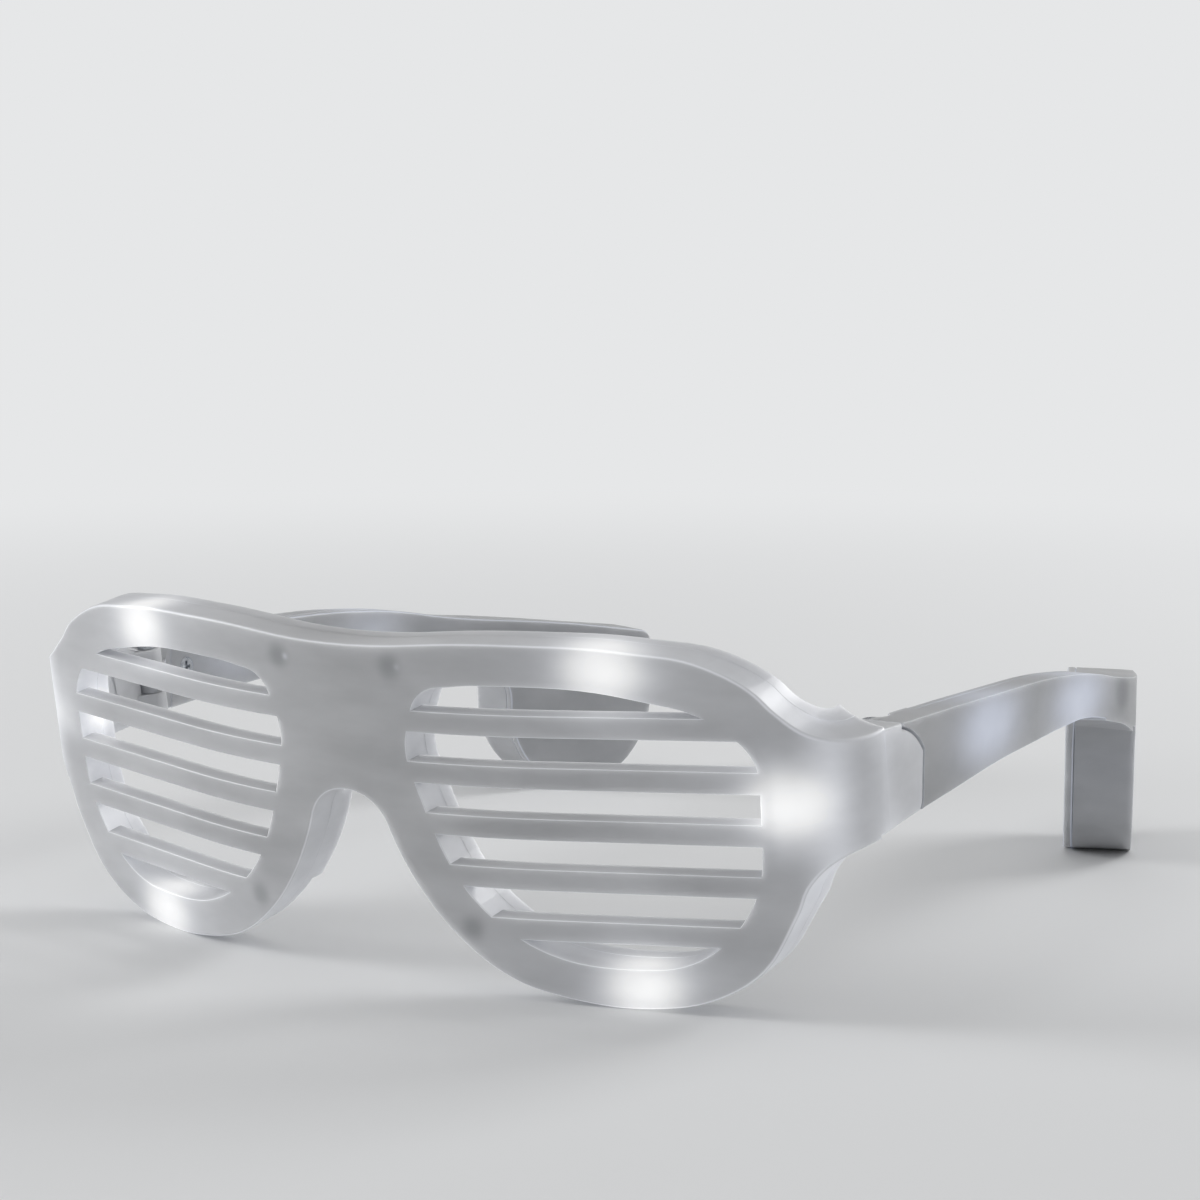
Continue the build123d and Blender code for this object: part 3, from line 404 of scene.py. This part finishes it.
def green_board():
    """Fibreglass board, solder-masked: glossy green, and paler over the copper tracks between its 2.4 mm
    fields."""
    field_mm = 2.4
    made, tree, shader = new_material("fibreglass_solder_masked_green", Roughness=0.3, IOR=1.5)
    place = add_node(tree, "TexCoord").outputs["Object"]
    tracks = add_node(tree, "TexVoronoi", Vector=place, Scale=1 / (field_mm * MM), feature="DISTANCE_TO_EDGE")
    tone = add_node(tree, "ValToRGB", tracks, stops=((0.08, "2C8A4A"), (0.12, "0E5B2C")))
    connect(shader, Base_Color=tone)
    return made


# Materials by the record's slots. The real metals and the epoxy's filler have a finer grain, which is drawn
# this coarse to show
finishes = {
    "frosted_plastic": rim_plastic,
    "light": lit_lens(),
    "light_strip": light_strip(),

    # Steel, zinc plated: cool grey, with a fine even sparkle
    "plated_steel": clouded(
        "steel_zinc_plated", ("A9ADB3", "CDD0D4"), grain_mm=0.6, roughness=0.2, uneven=0.2, relief=0.2,
        Metallic=1.0,
    ),

    # Steel, drawn and nickel plated: warmer and shinier, with fine level lines
    "cell_steel": clouded(
        "steel_nickel_plated", ("B9B7B2", "D2D0CB"), grain_mm=0.4, roughness=0.16, uneven=0.16, relief=0.2,
        stretch=(1.0, 1.0, 12.0), Metallic=1.0,
    ),

    # Brass, rolled: dull gold, with fine lines from the rolls
    "contact_strip": clouded(
        "brass_rolled", ("B49B63", "CDB682"), grain_mm=0.3, roughness=0.22, uneven=0.2, relief=0.2,
        stretch=(1.0, 8.0, 1.0), Metallic=1.0,
    ),
    "board": green_board(),

    # Epoxy, moulded: matt black, with the fine speckle of its filler
    "black_plastic": clouded(
        "epoxy_moulded_black", ("171718", "2B2B2D"), grain_mm=0.3, roughness=0.1, uneven=1.0,
        span=(0.35, 0.75), detail=2.0, IOR=1.55,
    ),

    # ABS, moulded: the switch's plain grey plunger, a little polished by use
    "plunger_plastic": clouded(
        "abs_moulded_grey", ("A9AAAB", "B6B7B8"), grain_mm=1.5, roughness=0.0, uneven=0.8, detail=2.0,
        IOR=1.54,
    ),

    # ABS, moulded and polished: a whiter, shinier button in the frosted arm
    "button_plastic": clouded(
        "abs_moulded_milky", ("D4D6D8", "DEDFE1"), grain_mm=3.0, roughness=0.2, uneven=0.1, IOR=1.54,
        Subsurface_Weight=0.3, Subsurface_Radius=EVEN, Subsurface_Scale=1.0 * MM,
    ),
}


def finish_of(node):
    """Material of a node: the arms' plastic has lights of its own."""
    if slot_of[node] == "frosted_plastic" and body_of_node[node] != "frame":
        return arm_plastic
    return finishes[slot_of[node]]


for node, node_object in frame["nodes"].items():
    node_object.data.materials.clear()
    node_object.data.materials.append(finish_of(node))


def only_select(made):
    """Select one object alone and make it active."""
    bpy.ops.object.select_all(action="DESELECT")
    made.select_set(True)
    bpy.context.view_layer.objects.active = made


def stands_for(piece, node):
    """The piece takes the node's place, body and material."""
    piece.data.materials.clear()
    piece.data.materials.append(finish_of(node))
    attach(piece, body_of_node[node])
    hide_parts(node)


# Moulded pieces: a copy's corners closer than MERGE_MM are merged, slivers and flat seams are dissolved,
# edges sharper than SHARP are rounded, and faces that meet at less than SMOOTH are shaded as one
MERGE_MM = 0.002
SLIVER_MM = 0.02
FLAT = radians(0.3)
SHARP = radians(32)
SMOOTH = radians(42)
ROUNDING_SEGMENTS = 3

# Corners that the rounding moved off the CAD surface by more than this share of its width go back to it
CORNER_REACH_SHARE = 0.45

# A face follows the CAD surface where the cosine between them is above FOLLOWS, and a rounded face beside it
# takes its normals above NEXT_TO. A corner's own triangle is looked for a little inside its face
FOLLOWS = cos(radians(8))
NEXT_TO = cos(radians(25))
PROBE_MM = 0.05
PROBE_SHARE = 0.2
LEAST_LENGTH_MM = 0.002


def smooth_region(mesh, start):
    """Faces that join a start face without a sharp edge between."""
    region, waiting = {start}, [start]
    while waiting:
        for edge in waiting.pop().edges:
            if edge.calc_face_angle() > SHARP:
                continue
            for face in edge.link_faces:
                if face not in region:
                    region.add(face)
                    waiting.append(face)
    return region


def edge_chains(edges):
    """The edges parted into chains that touch."""
    left, chains = set(edges), []
    while left:
        chain, waiting = [], [left.pop()]
        while waiting:
            edge = waiting.pop()
            chain.append(edge)
            for near in {near for vert in edge.verts for near in vert.link_edges if near in left}:
                left.remove(near)
                waiting.append(near)
        chains.append(chain)
    return chains


def chain_span(chain):
    """Diagonal of the box round a chain of edges."""
    places = [vert.co for edge in chain for vert in edge.verts]
    sides = [max(place[i] for place in places) - min(place[i] for place in places) for i in range(3)]
    return Vector(sides).length


def weigh_edges(piece, skin_mm, outline_mm, hole_mm, other_mm):
    """Give each sharp raised edge its share of the outline's width: round the skin, round the skin's holes,
    and elsewhere. The skin is the smooth face nearest to a point."""
    mesh = bmesh.new()
    mesh.from_mesh(piece.data)
    mesh.faces.ensure_lookup_table()
    share = mesh.edges.layers.float.new("bevel_weight_edge")
    skin = smooth_region(mesh, mesh.faces[BVHTree.FromBMesh(mesh).find_nearest(skin_mm * MM)[2]])
    raised = [edge for edge in mesh.edges if edge.is_convex and edge.calc_face_angle() > SHARP]
    for edge in raised:
        edge[share] = other_mm / outline_mm
    chains = edge_chains([edge for edge in raised if sum(face in skin for face in edge.link_faces) == 1])
    outline = max(chains, key=chain_span)
    for chain in chains:
        for edge in chain:
            edge[share] = 1.0 if chain is outline else hole_mm / outline_mm
    mesh.to_mesh(piece.data)
    mesh.free()


def exact_normal(place, corners, normals):
    """Normal of a smooth triangle at the place on it that is nearest."""
    flat = normal_of(corners)
    foot = place - flat * (place - corners[0]).dot(flat)
    return barycentric_transform(foot, *corners, *normals).normalized()


def settle_on(mesh, source, reach):
    """Put corners that the rounding drew out past its reach back on the source's faces. Faces that still
    follow the source get its exact normals, and rounded faces take these over where the two meet, so that
    flat and curved faces shade cleanly."""
    source.calc_loop_triangles()
    triangles = source.loop_triangles
    points = [vert.co for vert in source.vertices]
    surface = BVHTree.FromPolygons(points, [triangle.vertices for triangle in triangles])
    for vert in mesh.vertices:
        nearest_point, _, _, distance = surface.find_nearest(vert.co)
        if distance > reach:
            vert.co = nearest_point
    mesh.update()

    following, rounded = [], []
    for face in mesh.polygons:
        below = triangles[surface.find_nearest(face.center)[2]]
        kind = rounded if below.normal.dot(face.normal) < FOLLOWS else following
        kind.append(face)
    normals = [Vector(normal.vector) for normal in mesh.corner_normals]
    at_vert = {}
    for face in following:
        for loop in face.loop_indices:
            vert = mesh.vertices[mesh.loops[loop].vertex_index]
            inward = face.center - vert.co
            share = min(PROBE_SHARE, PROBE_MM * MM / max(inward.length, LEAST_LENGTH_MM * MM))
            triangle = triangles[surface.find_nearest(vert.co + inward * share)[2]]
            if triangle.normal.dot(face.normal) > FOLLOWS:
                corners = [points[index] for index in triangle.vertices]
                exact = [source.corner_normals[index].vector for index in triangle.loops]
                normals[loop] = exact_normal(vert.co, corners, exact)
                at_vert.setdefault(vert.index, []).append(normals[loop])
    for face in rounded:
        for loop in face.loop_indices:
            for normal in at_vert.get(mesh.loops[loop].vertex_index, []):
                if normal.dot(face.normal) > NEXT_TO:
                    normals[loop] = normal
    mesh.normals_split_custom_set(normals)


def softened(node, skin_mm, outline_mm, hole_mm, other_mm):
    """Put a copy of a moulded piece in its place, its edges rounded as wide as given round its skin, round
    the skin's holes and elsewhere. The skin is the smooth face nearest to a point."""
    source = frame["nodes"][node].data
    piece = bpy.data.objects.new(f"{node}_moulded", source.copy())
    bpy.context.scene.collection.objects.link(piece)
    only_select(piece)
    bpy.ops.mesh.customdata_custom_splitnormals_clear()
    bpy.ops.object.mode_set(mode="EDIT")
    bpy.ops.mesh.select_all(action="SELECT")
    bpy.ops.mesh.remove_doubles(threshold=MERGE_MM * MM)
    bpy.ops.mesh.dissolve_degenerate(threshold=SLIVER_MM * MM)
    bpy.ops.mesh.dissolve_limited(angle_limit=FLAT)
    bpy.ops.object.mode_set(mode="OBJECT")

    weigh_edges(piece, skin_mm, outline_mm, hole_mm, other_mm)
    bevel = piece.modifiers.new("soft_edges", "BEVEL")
    bevel.width = outline_mm * MM
    bevel.segments = ROUNDING_SEGMENTS
    bevel.limit_method = "WEIGHT"
    bevel.use_clamp_overlap = False
    bevel.loop_slide = False
    bpy.ops.object.modifier_apply(modifier=bevel.name)
    bpy.ops.object.shade_smooth_by_angle(angle=SMOOTH)
    settle_on(piece.data, source, outline_mm * CORNER_REACH_SHARE * MM)
    stands_for(piece, node)


def skin_point(node, direction):
    """Point on a node's box, furthest along one axis and in the middle of the others, in millimetres."""
    low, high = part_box(node)
    middle = (low + high) / 2
    half = (high - low) / 2
    return (middle + Vector([half[i] * direction[i] for i in range(3)])) / MM


bridge_front_mm = on_front(0.0, BRIDGE_UP_MM, 0.0)
bridge_back_mm = on_front(0.0, BRIDGE_UP_MM, FRONT_DEPTH_MM)
softened("front_shell", bridge_front_mm, outline_mm=0.5, hole_mm=0.2, other_mm=0.05)
softened("back_shell", bridge_back_mm, outline_mm=0.4, hole_mm=0.2, other_mm=0.05)
for side_name, side in SIDES:
    shell, cover, pin = f"{side_name}_arm_shell", f"{side_name}_arm_cover", f"hinge_pin_{side_name}"
    softened(shell, skin_point(shell, side * LEFT), outline_mm=0.4, hole_mm=0.2, other_mm=0.05)
    softened(cover, skin_point(cover, -side * LEFT), outline_mm=0.5, hole_mm=0.2, other_mm=0.06)
    softened(pin, skin_point(pin, UP), outline_mm=0.2, hole_mm=0.1, other_mm=0.1)

# The battery door's skin looks in at the head, and the button's looks out to the right
softened("battery_door", middle_of("battery_door") / MM - TIP_OUT, outline_mm=0.3, hole_mm=0.2, other_mm=0.1)
softened("button_cap", skin_point("button_cap", -LEFT), outline_mm=0.25, hole_mm=0.15, other_mm=0.1)

# Screws: a chamfered head with a cross recess, and a thread of five turns, drawn as rings. Shares are of the
# head's or the shank's radius, of the head's height, or of one turn of the thread
SCREW_SIDES = 40
HEAD_CHAMFER_MM = 0.1
RECESS_LONG_SHARE = 0.62
RECESS_THIN_SHARE = 0.17
RECESS_DEPTH_SHARE = 0.6
THREAD_TURNS = 5
THREAD_DEPTH_SHARE = 0.14
THREAD_FLANK_SHARE = 0.35
THREAD_CREST_SHARE = 0.3
POINT_SHARE = 0.35

# Points of a CAD screw that lie closer than this along it are on the same step of it
HEAD_STEP_MM = 0.2
END_STEP_MM = 0.1


def screw_solid(head_radius, head_height, radius, length):
    """Screw along +Z with its head down: a ring drawn up turn by turn, with two boxes cut out of the head."""
    chamfer = HEAD_CHAMFER_MM * MM
    wide = head_radius - chamfer
    bpy.ops.object.select_all(action="DESELECT")
    bpy.ops.mesh.primitive_circle_add(vertices=SCREW_SIDES, radius=wide, fill_type="NGON")
    solid = bpy.context.object
    bpy.ops.object.mode_set(mode="EDIT")
    bpy.ops.mesh.select_all(action="SELECT")
    turn = length / THREAD_TURNS
    flank = turn * THREAD_FLANK_SHARE
    crest = turn * THREAD_CREST_SHARE
    root = radius * (1 - THREAD_DEPTH_SHARE)
    steps = [(chamfer, head_radius), (head_height - chamfer, head_radius), (0.0, root)]
    for _ in range(THREAD_TURNS - 1):
        steps += [(flank, radius), (crest, radius), (flank, root)]
    steps += [(turn, radius * POINT_SHARE)]
    for rise, next_radius in steps:
        bpy.ops.mesh.extrude_region_move(TRANSFORM_OT_translate={"value": (0, 0, rise)})
        bpy.ops.transform.resize(value=(next_radius / wide, next_radius / wide, 1))
        wide = next_radius
    bpy.ops.mesh.select_all(action="SELECT")
    bpy.ops.mesh.normals_make_consistent(inside=False)
    bpy.ops.object.mode_set(mode="OBJECT")

    long = 2 * RECESS_LONG_SHARE * head_radius
    thin = 2 * RECESS_THIN_SHARE * head_radius
    deep = 2 * (RECESS_DEPTH_SHARE * head_height)
    for scale in ((long, thin, deep), (thin, long, deep)):
        bpy.ops.mesh.primitive_cube_add(size=1, scale=scale)
        blade = bpy.context.object
        only_select(solid)
        cut = solid.modifiers.new("recess", "BOOLEAN")
        cut.operation = "DIFFERENCE"
        cut.solver = "EXACT"
        cut.object = blade
        bpy.ops.object.modifier_apply(modifier=cut.name)
        bpy.data.objects.remove(blade)
    bpy.ops.object.shade_smooth_by_angle(angle=SMOOTH)
    return solid


def between(values):
    """Middle between the least and the greatest of some values."""
    return (min(values) + max(values)) / 2


def screws_for(node, ways):
    """The screws of a node as one piece. Each way gives the direction a screw runs in and the part of the
    node, told by a test on its points, that the screw takes its place and size from."""
    points = [vert.co for vert in frame["nodes"][node].data.vertices]
    made = []
    for way, belongs in ways:
        own = [point for point in points if belongs(point)]
        side = way.cross(UP)
        across = [point.dot(side) for point in own]
        along = [point.dot(way) for point in own]
        head_end = min(along)
        neck = min(value for value in along if value > head_end + HEAD_STEP_MM * MM)
        shank = [point.dot(side) for point in own if point.dot(way) > max(along) - END_STEP_MM * MM]
        solid = screw_solid(
            head_radius=(max(across) - min(across)) / 2,
            head_height=neck - head_end,
            radius=(max(shank) - min(shank)) / 2,
            length=max(along) - neck,
        )
        seat = side * between(across) + UP * between([point.z for point in own]) + way * head_end
        solid.data.transform(Matrix.Translation(seat) @ way.to_track_quat("Z", "Y").to_matrix().to_4x4())
        made.append(solid)
    bpy.ops.object.select_all(action="DESELECT")
    for solid in made:
        solid.select_set(True)
    bpy.context.view_layer.objects.active = made[0]
    if len(made) > 1:
        bpy.ops.object.join()
    made[0].name = f"{node}_cross_head"
    stands_for(made[0], node)


for side_name, side in SIDES:
    arm_way, tip_way = (Vector((side * way.x, way.y, 0)) for way in (ARM_OUT, TIP_OUT))
    screws_for(f"{side_name}_arm_screws",
               [(arm_way, lambda point: point.y < 0), (tip_way, lambda point: point.y > 0)])
screws_for("door_screw", [(TIP_OUT, lambda point: True)])

# Stage: pale matt floor that fades, away from its middle, into a backdrop that lights nothing
FLOOR_SIZE = 40.0
FLOOR_TONE = srgb("E2E3E4")
BACKDROP = srgb("E6E7E8")
FADE_START = 0.12
FADE_END = 0.75
bpy.ops.object.select_all(action="DESELECT")
bpy.ops.mesh.primitive_plane_add(size=FLOOR_SIZE)
floor = bpy.context.object
floor.name = "floor"
floor_paint, floor_tree, floor_shader = new_material(
    "paint_rolled_matt", Base_Color=FLOOR_TONE, Roughness=0.85
)
place = add_node(floor_tree, "TexCoord").outputs["Object"]
away = add_node(floor_tree, "VectorMath", place, operation="LENGTH")
fade = add_node(floor_tree, "MapRange", Value=away, From_Min=FADE_START, From_Max=FADE_END,
                interpolation_type="SMOOTHSTEP")
ray = add_node(floor_tree, "LightPath")
shown = add_node(floor_tree, "Math", ray.outputs["Is Camera Ray"], ray.outputs["Is Glossy Ray"],
                 operation="MAXIMUM")
shown = add_node(floor_tree, "Math", shown, ray.outputs["Is Transmission Ray"], operation="MAXIMUM")
faded = add_node(floor_tree, "Math", fade, shown, operation="MULTIPLY")
backdrop = add_node(floor_tree, "Emission", Color=BACKDROP)
mixed = add_node(floor_tree, "MixShader", faded, floor_shader, backdrop)
connect(floor_tree.nodes["Material Output"], Surface=mixed)
floor.data.materials.append(floor_paint)

# World: white light all round, and the backdrop's colour where it is seen
world = bpy.data.worlds.new("studio")
bpy.context.scene.world = world
world.use_nodes = True
studio = world.node_tree
ambient = studio.nodes["Background"]
connect(ambient, Color=srgb("FFFFFF"), Strength=0.4)
shown_sky = add_node(studio, "Background", Color=BACKDROP, Strength=1.0)
ray = add_node(studio, "LightPath")
seen = add_node(studio, "Math", ray.outputs["Is Camera Ray"], ray.outputs["Is Transmission Ray"],
                operation="MAXIMUM")
sky = add_node(studio, "MixShader", seen, ambient, shown_sky)
connect(studio.nodes["World Output"], Surface=sky)

# Lamps: a key light in front on the right, an edge light behind on the left, and a weak one above
LAMP_AIM = Vector((0, 0, 0.03))


def lamp(name, place, size, power):
    """Square softbox lamp, aimed at the glasses."""
    data = bpy.data.lights.new(name, "AREA")
    data.size = size
    data.energy = power
    made = bpy.data.objects.new(name, data)
    bpy.context.scene.collection.objects.link(made)
    made.location = place
    made.rotation_mode = "QUATERNION"
    made.rotation_quaternion = (LAMP_AIM - Vector(place)).to_track_quat("-Z", "Y")


lamp("key_light", place=(-0.95, -0.5, 0.4), size=0.45, power=6.6)
lamp("edge_light", place=(0.45, 0.7, 0.5), size=0.4, power=3.6)
lamp("top_light", place=(0.0, -0.1, 1.1), size=0.9, power=1.4)

# Camera
camera_data = bpy.data.cameras.new("camera")
camera_data.lens = CAMERA_LENS_MM
camera_data.sensor_width = CAMERA_SENSOR_MM
camera = bpy.data.objects.new("camera", camera_data)
bpy.context.scene.collection.objects.link(camera)
aim = Vector((
    -sin(CAMERA_TURN) * cos(CAMERA_DROP),
    cos(CAMERA_TURN) * cos(CAMERA_DROP),
    -sin(CAMERA_DROP),
))
turn = aim.to_track_quat("-Z", "Y").to_matrix() @ Matrix.Rotation(CAMERA_ROLL, 3, "Z")
camera.matrix_world = Matrix.Translation(CAMERA_PLACE_MM * MM) @ turn.to_4x4()
bpy.context.scene.camera = camera
bpy.context.scene.view_settings.view_transform = "Standard"
